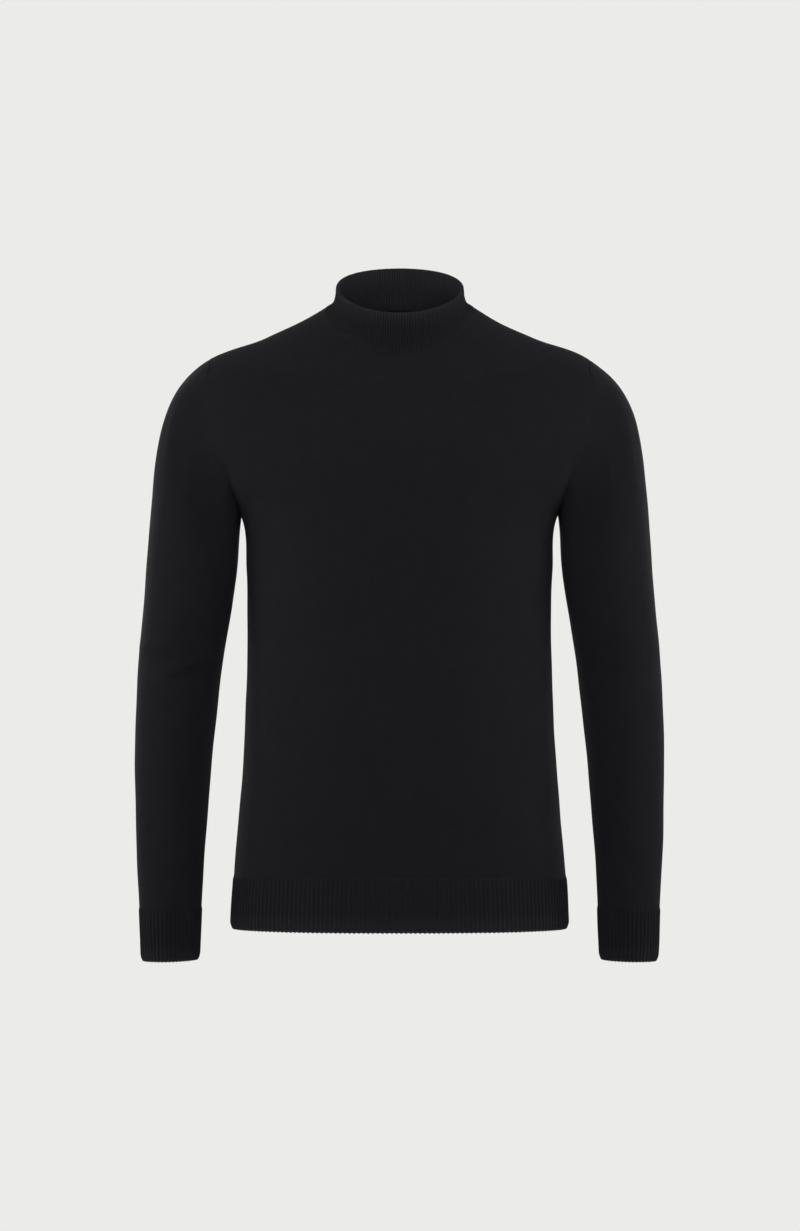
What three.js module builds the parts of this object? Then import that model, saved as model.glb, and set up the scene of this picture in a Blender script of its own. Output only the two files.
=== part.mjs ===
// A men's mock neck sweater in fine knit, filled out as if worn, with nothing in it.
// Millimetres. +Z is up, the front faces -Y, and the wearer's left is +X.
// The origin is the middle of the neck, level with the points where shoulder seams meet collar.
import * as THREE from "three";
import { mergeVertices } from "three/addons/utils/BufferGeometryUtils.js";

// ---- Driving sizes ----
const WALL = 1.8; // plain knit, one layer
const RIB_WALL = 1.8; // floor of the rib under its raised wales
const COLLAR_WALL = 3.0; // the collar is doubled, so it has two layers
const SEAM_GAP = 0.3; // room between two pieces at a seam
const RIB_RISE = { hem: 0.9, cuff: 0.8, collar: 0.6 }; // how far a rib stands up
const RIB_COUNT = { hemHalf: 96, cuff: 46, collar: 152 };

// The body's form from hem to neck, one closed loop a row. Each loop is a superellipse
// whose height changes from its side to its front and its back.
// Between underarm and shoulder the loops bridge the armholes, where the cloth is cut away.
const BODY_COLUMNS = ["place", "side", "frontZ", "backZ", "halfWidth", "front", "back", "square"];
const BODY = table(BODY_COLUMNS, [
  ["hemEdge", -677.5, -675.2, -681, 185.6, 107, 109, 2.5],
  ["ribTop", -620, -616, -623, 182.5, 107, 107, 2.5],
  ["lowHip", -540, -537, -541, 175.2, 109, 103, 2.45],
  ["hip", -450, -449, -450, 169.5, 110, 97, 2.4],
  ["waist", -360, -360, -360, 167, 112, 97, 2.35],
  ["ribcage", -285, -285, -285, 168, 117, 107, 2.35],
  ["underarm", -226, -226, -226, 174, 121, 116, 2.35],
  ["lowArmhole", -184, -192, -184, 207, 122, 119, 2.15],
  ["midArmhole", -128, -149, -132, 238, 118, 118, 2.0],
  ["highArmhole", -80, -117, -90, 240, 109, 112, 1.95],
  ["shoulderTip", -54.5, -97, -60, 210, 99, 103, 1.95],
  ["midShoulder", -31.2, -75, -26.5, 147.5, 83, 89, 2.0],
  ["nearNeck", -8.4, -58.5, -2.8, 97.3, 70, 76, 2.0],
  ["neckSeam", -1, -53.5, 7, 84.5, 66, 71, 2.0],
]);
// How far round the body an armhole reaches from the side, to the front and to the back,
// and the power that fills it out towards the shoulder tip: 1 is an oval, less is squarer.
const ARMHOLE_TURN = { front: THREE.MathUtils.degToRad(32), back: THREE.MathUtils.degToRad(32) };
const ARMHOLE_POWER = { underarm: 1, shoulder: 0.7 };

// The sleeve head: how strongly it leaves the armhole and meets the sleeve, as shares of the
// distance between them, and the way that its cloth starts down from the underarm.
const HEAD_PULL = {
  armhole: { underarm: 1.05, shoulder: 0.93 },
  sleeve: { underarm: 1.05, shoulder: 1.65 },
};
const UNDERARM_WAY = [0.12, 0, -1];
const SEAM_TILT = 0.3; // how far the walls lean down together where sleeve and body are sewn
const PANEL_SAG = 50; // how far a panel's rows run below the underarm in the middle
const FOLD = { inward: 0.3, rise: 1 }; // the collar's rounded fold: share of its wall, height

// The sleeve below the sleeve head, one oval a row, from its overarm edge to its underarm edge.
const SLEEVE_COLUMNS = ["place", "overX", "overZ", "underX", "underZ", "front", "back", "middle"];
const SLEEVE = table(SLEEVE_COLUMNS, [
  ["biceps", 276.5, -258, 180.2, -298, 57, 58, 2],
  ["aboveElbow", 282.3, -332, 187.0, -340, 54, 55, 4],
  ["elbow", 288, -398, 196, -398, 50, 51, 4],
  ["belowElbow", 290.3, -472, 203.8, -470, 46, 46, -2],
  ["forearm", 289.3, -560, 211.0, -558, 41, 40, -11],
  ["cuffTop", 285.1, -653, 216.7, -652, 35, 34, -20],
  ["cuffEdge", 282.2, -711.5, 218.4, -710, 31, 30, -25],
]);

// The collar, one oval a row, from the neck seam to the folded edge.
const COLLAR_COLUMNS = ["place", "side", "frontZ", "backZ", "halfWidth", "front", "back"];
const COLLAR = table(COLLAR_COLUMNS, [
  ["neckSeam", -1, -53.5, 7, 84.5, 66, 71],
  ["turn", 6, -46, 16, 74, 65, 67],
  ["stand", 13, -33, 29, 71.3, 63, 63.5],
  ["edge", 25, -8, 51, 70, 60, 60],
]);

// Soft creases, each a trough along a line seen from the front or the back.
// Ends are on the wearer's left and are mirrored to the right.
const CREASE_COLUMNS = ["face", "x0", "z0", "x1", "z1", "width", "depth"];
const CREASES = table(CREASE_COLUMNS, [
  ["front", 204, -400, 262, -402, 17, 3.0],
  ["front", 262, -402, 289, -380, 15, 2.0],
  ["back", 214, -402, 272, -384, 18, 2.2],
  ["front", 158, -245, 116, -285, 24, 2.0],
  ["back", 156, -245, 110, -290, 24, 2.2],
]);

// Grid fineness: columns across, rows up.
const FINE = {
  bodyColumns: 22,
  plainRows: 9,
  armholeRows: 11,
  shoulderRows: 6,
  sleeveColumns: 22,
  headRows: 9,
  sleeveRows: 12,
};

// ---- Small helpers ----
function table(columns, rows) {
  return rows.map((row) => Object.fromEntries(columns.map((name, i) => [name, row[i]])));
}

const steps = (count) => Array.from({ length: count + 1 }, (_, i) => i / count);
const lerp = THREE.MathUtils.lerp;
const smooth = (low, high, value) => THREE.MathUtils.smoothstep(value, low, high);

// A smooth curve through the rows' values: cubic pieces whose slopes average their neighbours'.
function through(knots, values) {
  const slope = knots.slice(1).map((k, i) => (values[i + 1] - values[i]) / (k - knots[i]));
  const last = slope.length;
  const tangent = knots.map((_, i) => {
    if (i === 0) return slope[0];
    if (i === last) return slope[last - 1];
    const before = knots[i] - knots[i - 1];
    const after = knots[i + 1] - knots[i];
    return (slope[i - 1] * after + slope[i] * before) / (before + after);
  });
  return (at) => {
    let i = 0;
    while (i < last - 1 && at > knots[i + 1]) i += 1;
    const span = knots[i + 1] - knots[i];
    const s = (at - knots[i]) / span;
    const ends = values[i] * (1 + 2 * s) * (1 - s) ** 2 + values[i + 1] * s * s * (3 - 2 * s);
    return ends + span * (tangent[i] * s * (1 - s) ** 2 - tangent[i + 1] * s * s * (1 - s));
  };
}

// A table as smooth functions of the distance along one of its edges.
function sections(rows, edge) {
  const knots = [0];
  rows.slice(1).forEach((row, i) => knots.push(knots[i] + edge(row).distanceTo(edge(rows[i]))));
  const names = Object.keys(rows[0]).filter((name) => name !== "place");
  const curves = names.map((name) => [name, through(knots, rows.map((row) => row[name]))]);
  return {
    at: (s) => Object.fromEntries(curves.map(([name, curve]) => [name, curve(s)])),
    place: (name) => knots[rows.findIndex((row) => row.place === name)],
  };
}

const body = sections(BODY, (row) => new THREE.Vector2(row.halfWidth, row.side));
const sleeve = sections(SLEEVE, (row) => new THREE.Vector2(row.overX, row.overZ));
const collar = sections(COLLAR, (row) => new THREE.Vector2(row.halfWidth, row.side));

// Places from one end of a curve to the other that cut it into equal lengths.
function evenly(curve, from, to, spans) {
  const places = steps(600).map((u) => lerp(from, to, u));
  const points = places.map(curve);
  const lengths = [0];
  for (let i = 1; i < points.length; i += 1) {
    lengths.push(lengths[i - 1] + points[i].distanceTo(points[i - 1]));
  }
  let i = 0;
  return steps(spans).map((u) => {
    const wanted = u * lengths[lengths.length - 1];
    while (i < lengths.length - 2 && lengths[i + 1] < wanted) i += 1;
    const share = (wanted - lengths[i]) / (lengths[i + 1] - lengths[i]);
    return u === 1 ? to : lerp(places[i], places[i + 1], share);
  });
}

// How deep the creases are at a point of the surface, 0 where there are none.
function creaseDepth(point, facing) {
  const face = facing < 0 ? "front" : "back";
  const strength = Math.min(1, Math.abs(facing) * 2);
  let depth = 0;
  for (const crease of CREASES) {
    if (crease.face !== face) continue;
    const along = new THREE.Vector2(crease.x1 - crease.x0, crease.z1 - crease.z0);
    const from = new THREE.Vector2(Math.abs(point.x) - crease.x0, point.z - crease.z0);
    const share = from.dot(along) / along.lengthSq();
    const aside = from.cross(along) / along.length();
    const ends = smooth(-0.25, 0.3, share) * (1 - smooth(0.6, 1.25, share));
    depth += crease.depth * ends * Math.exp(-((aside / crease.width) ** 2));
  }
  return depth * strength;
}

// ---- The forms ----
// A point of a tilted loop: turn 0 is the centre front, a quarter turn the wearer's left side.
// The loop is a superellipse, and its height runs smoothly through its side, front and back.
function loop(row, turn) {
  const sine = Math.sin(turn);
  const cosine = Math.cos(turn);
  const reach = (Math.abs(sine) ** row.square + Math.abs(cosine) ** row.square) ** (-1 / row.square);
  const ahead = cosine * reach;
  const tilt = (row.frontZ - row.backZ) / 2;
  const dip = (row.frontZ + row.backZ) / 2 - row.side;
  return new THREE.Vector3(
    row.halfWidth * sine * reach,
    -(ahead > 0 ? row.front : row.back) * ahead,
    row.side + tilt * ahead + dip * ahead * ahead,
  );
}

const bodyForm = (turn, s) => loop(body.at(s), turn);

// The armhole on the form. Angle 0 is the underarm, pi the shoulder tip, by way of the front.
function armholePlace(angle) {
  const height = (1 - Math.cos(angle)) / 2;
  const s = lerp(body.place("underarm"), body.place("shoulderTip"), height);
  const reach = Math.sin(angle) > 0 ? ARMHOLE_TURN.front : -ARMHOLE_TURN.back;
  const power = lerp(ARMHOLE_POWER.underarm, ARMHOLE_POWER.shoulder, height);
  const fullness = Math.abs(Math.sin(angle)) ** power;
  return { s, turn: Math.PI / 2 - reach * fullness };
}

function armhole(angle) {
  const { s, turn } = armholePlace(angle);
  return bodyForm(turn, s);
}

function normalOf(surface, u, v, stepU, stepV) {
  const across = surface(u + stepU, v).sub(surface(u - stepU, v));
  const up = surface(u, v + stepV).sub(surface(u, v - stepV));
  return across.cross(up).normalize();
}

const bodyNormal = (turn, s) => normalOf(bodyForm, turn, s, 0.01, 0.5);

// An oval of the sleeve. Angle 0 is the underarm edge, pi the overarm edge, by way of the front.
function sleeveOval(angle, s) {
  const row = sleeve.at(s);
  const outward = (1 - Math.cos(angle)) / 2;
  const depth = Math.sin(angle) > 0 ? row.front : row.back;
  return new THREE.Vector3(
    lerp(row.underX, row.overX, outward),
    row.middle - depth * Math.sin(angle),
    lerp(row.underZ, row.overZ, outward),
  );
}

// The way the sleeve leaves the armhole: on with the body's surface at the shoulder,
// and straight down at the underarm, where sleeve and body fold against each other.
function sleeveStart(angle) {
  const { s, turn } = armholePlace(angle);
  const seam = armhole(angle + 0.01).sub(armhole(angle - 0.01));
  const onward = bodyNormal(turn, s).cross(seam).normalize().negate();
  const outward = (1 - Math.cos(angle)) / 2;
  const down = new THREE.Vector3(...UNDERARM_WAY);
  return down.lerp(onward, smooth(0.02, 0.5, outward)).normalize();
}

// The sleeve head, a smooth bridge from the armhole (share 0) to the biceps oval (share 1).
function sleeveHead(angle, share) {
  const start = armhole(angle);
  const end = sleeveOval(angle, 0);
  const gap = start.distanceTo(end);
  const outward = (1 - Math.cos(angle)) / 2;
  const onward = sleeveOval(angle, 12).sub(end).normalize();
  const near = (1 + 2 * share) * (1 - share) ** 2;
  const pull = (ends) => gap * lerp(ends.underarm, ends.shoulder, outward);
  return start
    .multiplyScalar(near)
    .addScaledVector(end, 1 - near)
    .addScaledVector(sleeveStart(angle), pull(HEAD_PULL.armhole) * share * (1 - share) ** 2)
    .addScaledVector(onward, -pull(HEAD_PULL.sleeve) * share * share * (1 - share));
}

// The whole sleeve: v runs from 0 at the armhole through 1 at the biceps, then in millimetres.
function sleeveForm(angle, v) {
  return v < 1 ? sleeveHead(angle, v) : sleeveOval(angle, v - 1);
}

function sleeveNormal(angle, v) {
  const stepV = v < 1 ? 0.01 : 0.5;
  const low = Math.max(v - stepV, v < 1 ? 0 : 1);
  const around = sleeveForm(angle + 0.01, v).sub(sleeveForm(angle - 0.01, v));
  const along = sleeveForm(angle, v + stepV).sub(sleeveForm(angle, low));
  return around.cross(along).normalize().negate();
}

// The direction that both walls share at the armhole seam.
function seamNormal(angle) {
  const { s, turn } = armholePlace(angle);
  const shared = bodyNormal(turn, s).add(sleeveNormal(angle, 0));
  return shared.add(new THREE.Vector3(0, 0, -SEAM_TILT)).normalize();
}

function collarForm(turn, s) {
  return loop({ square: 2, ...collar.at(s) }, turn);
}

// ---- Walls ----
// One ribbed or plain wall from rows of outer and inner points. The outer rows may have
// several points for each inner one. A closed wall runs all the way round.
function wall(outer, inner, closed) {
  const positions = [];
  const index = (point) => positions.push(point.x, point.y, point.z) / 3 - 1;
  const out = outer.map((row) => row.map(index));
  const ins = inner.map((row) => row.map(index));
  const faces = [];
  const apart = (a, b) => Math.hypot(...[0, 1, 2].map((k) => positions[3 * a + k] - positions[3 * b + k]));
  const quad = (a, b, c, d) => {
    if (apart(a, c) <= apart(b, d)) faces.push(a, b, c, a, c, d);
    else faces.push(a, b, d, b, c, d);
  };
  const sheet = (rows, outside) => {
    const width = rows[0].length;
    for (let j = 0; j + 1 < rows.length; j += 1) {
      for (let i = 0; i < (closed ? width : width - 1); i += 1) {
        const k = (i + 1) % width;
        if (outside) quad(rows[j][i], rows[j][k], rows[j + 1][k], rows[j + 1][i]);
        else quad(rows[j][i], rows[j + 1][i], rows[j + 1][k], rows[j][k]);
      }
    }
  };
  const rim = (o, n, top) => {
    const spans = closed ? n.length : n.length - 1;
    const ratio = (closed ? o.length : o.length - 1) / spans;
    const turn = (a, b, c) => (top ? faces.push(a, b, c) : faces.push(a, c, b));
    for (let i = 0; i < spans; i += 1) {
      const near = n[i];
      const far = n[(i + 1) % n.length];
      for (let j = 0; j < ratio; j += 1) {
        const a = o[(i * ratio + j) % o.length];
        const b = o[(i * ratio + j + 1) % o.length];
        turn(a, b, j * 2 < ratio ? near : far);
        if (j === Math.ceil(ratio / 2) - 1) turn(near, b, far);
      }
    }
  };
  sheet(out, true);
  sheet(ins, false);
  rim(out[out.length - 1], ins[ins.length - 1], true);
  rim(out[0], ins[0], false);
  if (!closed) {
    const right = out[0].length - 1;
    const end = ins[0].length - 1;
    for (let j = 0; j + 1 < out.length; j += 1) {
      quad(out[j][0], out[j + 1][0], ins[j + 1][0], ins[j][0]);
      quad(out[j][right], ins[j][end], ins[j + 1][end], out[j + 1][right]);
    }
  }
  const geometry = new THREE.BufferGeometry();
  geometry.setAttribute("position", new THREE.Float32BufferAttribute(positions, 3));
  geometry.setIndex(faces);
  return mergeVertices(geometry, 1e-4);
}

const sunk = (point, normal, depth) => point.clone().addScaledVector(normal, -depth);

// ---- Pieces ----
// A front or back panel. Each row runs from one side to the other; beside the armholes
// it stops at the seam, and above the shoulder tips it runs to the shoulder seams.
// Rows leave the corners of underarm and shoulder tip slantwise, low and high in the middle.
function panel(facing) {
  const centre = facing === "front" ? 0 : Math.PI;
  const sign = facing === "front" ? 1 : -1;
  const low = body.place("ribTop");
  const under = body.place("underarm");
  const tip = body.place("shoulderTip");
  const top = body.place("neckSeam");
  const lowMiddle = under - PANEL_SAG;
  const highMiddle = lerp(tip, top, 0.5);
  const onSeam = (s) => ({ s, turn: Math.PI / 2 });
  const rows = [
    ...steps(FINE.plainRows)
      .slice(0, -1)
      .map((v) => ({ side: onSeam(lerp(low, under, v)), middle: lerp(low, lowMiddle, v) })),
    ...steps(FINE.armholeRows).map((v) => {
      const angle = Math.PI * v * sign;
      return { angle, side: armholePlace(angle), middle: lerp(lowMiddle, highMiddle, v) };
    }),
    ...steps(FINE.shoulderRows)
      .slice(1)
      .map((v) => ({ side: onSeam(lerp(tip, top, v)), middle: lerp(highMiddle, top, v) })),
  ];
  const outer = [];
  const inner = [];
  for (const { angle, side, middle } of rows) {
    const half = sign > 0 ? side.turn : Math.PI - side.turn;
    const place = (across) => [centre + half * across, lerp(middle, side.s, across ** 4)];
    const columns = evenly((across) => bodyForm(...place(across)), -1, 1, FINE.bodyColumns);
    const points = columns.map((across) => {
      const point = bodyForm(...place(across));
      let normal = bodyNormal(...place(across));
      if (angle !== undefined && Math.abs(across) === 1) {
        normal = seamNormal(angle);
        if (point.x < 0) normal.x *= -1;
      }
      point.addScaledVector(normal, -creaseDepth(point, normal.y));
      return [point, sunk(point, normal, WALL)];
    });
    outer.push(points.map((pair) => pair[0]));
    inner.push(points.map((pair) => pair[1]));
  }
  return wall(outer, inner, false);
}

// A band of rib between two levels of a form, with several points round each raised wale
// and a plain inside. The last point of a closed band is its first, so it is left out.
function ribBand({ form, normal, levels, from, to, ribs, points, rise, thick, insideEvery, closed }) {
  const middle = (levels[0] + levels[levels.length - 1]) / 2;
  const around = (spans) => {
    const places = evenly((turn) => form(turn, middle), from, to, spans);
    return closed ? places.slice(0, -1) : places;
  };
  const wales = around(ribs * points);
  const plain = around((ribs * points) / insideEvery);
  const raised = (i) => (points === 2 ? i % 2 : Number(i % 4 === 1 || i % 4 === 2)) * rise;
  const outer = levels.map((s) =>
    wales.map((turn, i) => sunk(form(turn, s), normal(turn, s), -raised(i))),
  );
  const inner = levels.map((s) => plain.map((turn) => sunk(form(turn, s), normal(turn, s), thick)));
  return { outer, inner };
}

// Half of the hem rib, below a front or back panel.
function hemRib(facing) {
  const centre = facing === "front" ? 0 : Math.PI;
  const { outer, inner } = ribBand({
    form: bodyForm,
    normal: bodyNormal,
    levels: [body.place("hemEdge"), body.place("ribTop")],
    from: centre - Math.PI / 2,
    to: centre + Math.PI / 2,
    ribs: RIB_COUNT.hemHalf,
    points: 4,
    rise: RIB_RISE.hem,
    thick: RIB_WALL,
    insideEvery: 8,
    closed: false,
  });
  return wall(outer, inner, false);
}

// The wearer's left sleeve, from the armhole to the cuff.
function sleeveTube() {
  const rows = [
    ...steps(FINE.headRows).slice(0, -1),
    ...steps(FINE.sleeveRows).map((v) => 1 + v * sleeve.place("cuffTop")),
  ].reverse();
  const around = steps(FINE.sleeveColumns).slice(0, -1);
  const outer = [];
  const inner = [];
  for (const v of rows) {
    const points = around.map((u) => {
      const angle = 2 * Math.PI * u;
      const normal = v === 0 ? seamNormal(angle) : sleeveNormal(angle, v);
      const point = sleeveForm(angle, v);
      point.addScaledVector(normal, -creaseDepth(point, normal.y));
      return [point, sunk(point, normal, WALL)];
    });
    outer.push(points.map((pair) => pair[0]));
    inner.push(points.map((pair) => pair[1]));
  }
  return wall(outer, inner, true);
}

// The rib at the end of the wearer's left sleeve.
function cuffRib() {
  const { outer, inner } = ribBand({
    form: sleeveOval,
    normal: (angle, s) => sleeveNormal(angle, 1 + s),
    levels: [sleeve.place("cuffEdge"), sleeve.place("cuffTop")],
    from: 0,
    to: 2 * Math.PI,
    ribs: RIB_COUNT.cuff,
    points: 4,
    rise: RIB_RISE.cuff,
    thick: RIB_WALL,
    insideEvery: 4,
    closed: true,
  });
  return wall(outer, inner, true);
}

// The doubled collar, standing up from the neck seam to a rounded fold.
function collarTube() {
  const { outer, inner } = ribBand({
    form: collarForm,
    normal: (turn, s) => normalOf(collarForm, turn, s, 0.01, 0.3),
    levels: [1.5 * SEAM_GAP, ...["turn", "stand", "edge"].map((name) => collar.place(name))],
    from: 0,
    to: 2 * Math.PI,
    ribs: RIB_COUNT.collar,
    points: 2,
    rise: RIB_RISE.collar,
    thick: COLLAR_WALL,
    insideEvery: 4,
    closed: true,
  });
  const rounded = (edge, away) => {
    const centre = (i, count) => away[Math.floor((i * away.length) / count)];
    return edge.map((point, i) => {
      const fold = point.clone().lerp(centre(i, edge.length), FOLD.inward);
      fold.z += FOLD.rise;
      return fold;
    });
  };
  const outerEdge = outer[outer.length - 1];
  const innerEdge = inner[inner.length - 1];
  outer.push(rounded(outerEdge, innerEdge));
  inner.push(rounded(innerEdge, outerEdge));
  return wall(outer, inner, true);
}

// ---- The sweater ----
const knit = new THREE.MeshStandardMaterial({ color: 0x1b1a1d, roughness: 0.92, metalness: 0 });
const rib = new THREE.MeshStandardMaterial({ color: 0x18171a, roughness: 0.94, metalness: 0 });
const sweater = new THREE.Group();

function add(name, geometry, material, shift = [0, 0, 0]) {
  const mesh = new THREE.Mesh(geometry, material);
  mesh.name = name;
  mesh.position.set(...shift);
  sweater.add(mesh);
  return mesh;
}

// The wearer's right side is the left one mirrored.
function addPair(name, geometry, material, shift) {
  add(name + "_left", geometry, material, shift);
  const right = add(name + "_right", geometry, material, [-shift[0], shift[1], shift[2]]);
  right.scale.x = -1;
}

add("front", panel("front"), knit, [0, -SEAM_GAP / 2, 0]);
add("back", panel("back"), knit, [0, SEAM_GAP / 2, 0]);
add("hem_rib_front", hemRib("front"), rib, [0, -SEAM_GAP / 2, -SEAM_GAP]);
add("hem_rib_back", hemRib("back"), rib, [0, SEAM_GAP / 2, -SEAM_GAP]);
addPair("sleeve", sleeveTube(), knit, [SEAM_GAP, 0, 0]);
addPair("cuff", cuffRib(), rib, [SEAM_GAP, 0, -SEAM_GAP]);
add("collar", collarTube(), rib);

export default sweater;
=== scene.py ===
"""A men's mock neck sweater in fine knit, filled out as if worn, with nothing in it.

Sizes are in metres. +Z is up, the front faces -Y, and the wearer's left is +X.
Every cloth piece is one closed wall: an outer and an inner grid of points, both
worked out from the same few measured sections, with the seams rolled in, the ribs
raised and the creases pressed in or out along the cloth's own normal.
"""

from collections import namedtuple

import bpy
import numpy as np
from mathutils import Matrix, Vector


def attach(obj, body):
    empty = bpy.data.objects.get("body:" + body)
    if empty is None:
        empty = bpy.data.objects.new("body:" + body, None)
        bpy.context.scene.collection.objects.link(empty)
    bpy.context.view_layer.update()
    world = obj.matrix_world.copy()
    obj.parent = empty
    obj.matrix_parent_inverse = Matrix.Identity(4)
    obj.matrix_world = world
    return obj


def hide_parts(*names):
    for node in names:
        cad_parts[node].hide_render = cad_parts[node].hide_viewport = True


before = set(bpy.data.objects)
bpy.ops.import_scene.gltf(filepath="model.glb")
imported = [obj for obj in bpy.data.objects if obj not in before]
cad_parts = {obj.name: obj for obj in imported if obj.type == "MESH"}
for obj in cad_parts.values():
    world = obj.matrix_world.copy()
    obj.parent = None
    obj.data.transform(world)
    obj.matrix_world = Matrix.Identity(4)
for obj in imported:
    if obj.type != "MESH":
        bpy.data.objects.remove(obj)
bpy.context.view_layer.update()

MM = 0.001
QUARTER = np.pi / 2
TURNED_OVER = np.array([-1, 1, 1])  # turns a point of one side into its fellow of the other
TURN_STEP = 0.01  # the turn over which a form's slope is taken

# ---- Measured sizes, in millimetres ----
WALL = 1.8  # one layer of plain knit
CLEAR = 0.05  # room between two pieces at a seam, too little for light to show through
WALE = 1.8  # width of one column of stitches
COURSE = 1.3  # height of one row of stitches

# The three kinds of rib. count is the number of ribs, the hem's for one half, and lines the
# number of grid lines a rib. rise is a rib's height over its wall. inside is how far the
# inner side follows a rib outwards, as a share of its rise, and below zero it stands up
# inwards instead. wales is the number of columns of stitches in a rib. free names the free
# edge, tuck is how far that edge draws in, and the last field is painted light on the inner
# side: how much paler it is painted where light falls into the open collar.
Rib = namedtuple("Rib", "count lines rise wall inside wales free tuck paler")
RIBS = {
    "hem": Rib(96, 9, 0.9, 1.8, 0.5, 4, "low", 2.0, 0.0),
    "cuff": Rib(46, 10, 0.8, 1.8, 0.5, 4, "low", 1.5, 0.0),
    "collar": Rib(152, 8, 0.6, 3.0, -0.9, 2, "high", 0.0, 0.65),
}
RIB_POWER = 2.6  # the higher, the broader a rib's top and the narrower the groove beside it
RIB_START = 0.375  # where the first groove lies, in ribs
RIB_UNEVEN = 0.12  # how much ribs differ in height
RIB_JOIN = (-0.5, 5.0)  # distances from the join between which the ribs come up
TUCK_REACH = 7  # how far from the free edge the rib starts to draw in
FOLD_TURN = np.radians(84)  # how far round the wall's half circle at a free edge the grid goes
FOLD_LINES = 6  # and in how many lines
COLLAR_TOP = 1.4  # the fold of the collar stands this far over its last section

# Painted shade in the grooves between ribs, outside and inside; below zero it is painted light
# instead. The hem's is painted light in its middle, which evens out its ribs' shading there,
# and painted shade at its sides.
CUFF_GROOVE_SHADE = (0.6, 0.6)
COLLAR_GROOVE_SHADE = (0.9, 1.3)
HEM_GROOVE_SHADE = {"middle": -0.35, "side": 0.8}
HEM_GROOVE_TURNS = (0.5, 0.85)  # sines of the turns between which the hem's changes

# Painted highlight at a free edge, where the hem's rib curls out towards the light and the
# collar's fold faces up: how much, and how far from the edge it has faded out.
EDGE_HIGHLIGHT = ((0.35, 22), (0.45, 3))

# The body from hem to neck, one closed loop a row.
BODY_COLUMNS = "side frontZ backZ halfWidth front back square"
BODY = {
    "hemEdge": (-677.5, -675.2, -681, 185.6, 107, 109, 2.5),
    "ribTop": (-620, -616, -623, 182.5, 107, 107, 2.5),
    "lowHip": (-540, -537, -541, 175.2, 109, 103, 2.45),
    "hip": (-450, -449, -450, 169.5, 110, 97, 2.4),
    "waist": (-360, -360, -360, 167, 112, 97, 2.35),
    "ribcage": (-285, -285, -285, 168, 117, 107, 2.35),
    "underarm": (-226, -226, -226, 174, 121, 116, 2.35),
    "lowArmhole": (-184, -192, -184, 207, 122, 119, 2.15),
    "midArmhole": (-128, -149, -132, 238, 118, 118, 2.0),
    "highArmhole": (-80, -117, -90, 240, 109, 112, 1.95),
    "shoulderTip": (-54.5, -97, -60, 210, 99, 103, 1.95),
    "midShoulder": (-31.2, -75, -26.5, 147.5, 83, 89, 2.0),
    "nearNeck": (-8.4, -58.5, -2.8, 97.3, 70, 76, 2.0),
    "neckSeam": (-1, -53.5, 7, 84.5, 66, 71, 2.0),
}

# The sleeve below its head, one oval a row, from the overarm edge to the underarm edge.
SLEEVE_COLUMNS = "overX overZ underX underZ front back middle"
SLEEVE = {
    "biceps": (276.5, -258, 180.2, -298, 57, 58, 2),
    "aboveElbow": (282.3, -332, 187.0, -340, 54, 55, 4),
    "elbow": (288, -398, 196, -398, 50, 51, 4),
    "belowElbow": (290.3, -472, 203.8, -470, 46, 46, -2),
    "forearm": (289.3, -560, 211.0, -558, 41, 40, -11),
    "cuffTop": (285.1, -653, 216.7, -652, 35, 34, -20),
    "cuffEdge": (282.2, -711.5, 218.4, -710, 31, 30, -25),
}

# The collar, one oval a row, from the neck seam to the folded edge.
COLLAR_COLUMNS = "side frontZ backZ halfWidth front back"
COLLAR = {
    "neckSeam": (-1, -53.5, 7, 84.5, 66, 71),
    "turn": (6, -46, 16, 74, 65, 67),
    "stand": (13, -33, 29, 71.3, 63, 63.5),
    "edge": (25, -8, 51, 70, 60, 60),
}

# How far round the body an armhole reaches, and the power that fills it out: 1 is an oval,
# and less is squarer.
ARMHOLE_TURN = np.radians(32)
ARMHOLE_POWER = {"underarm": 1, "shoulder": 0.7}

# The sleeve head: how strongly it leaves the armhole and meets the sleeve, as shares of the
# distance between them, at the underarm and at the shoulder.
LEAVING_PULL = {"underarm": 1.05, "shoulder": 0.93}
ARRIVING_PULL = {"underarm": 1.05, "shoulder": 1.65}
UNDERARM_WAY = np.array([0.12, 0, -1])  # the way that its cloth starts down from the underarm
UNDERARM_SHARE = (0.02, 0.5)  # heights round the armhole between which that way is given up
SEAM_TILT = np.array([0, 0, -0.3])  # how far the walls lean down together at the armhole
PANEL_SAG = 50  # how far a panel's rows run below the underarm in the middle

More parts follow.
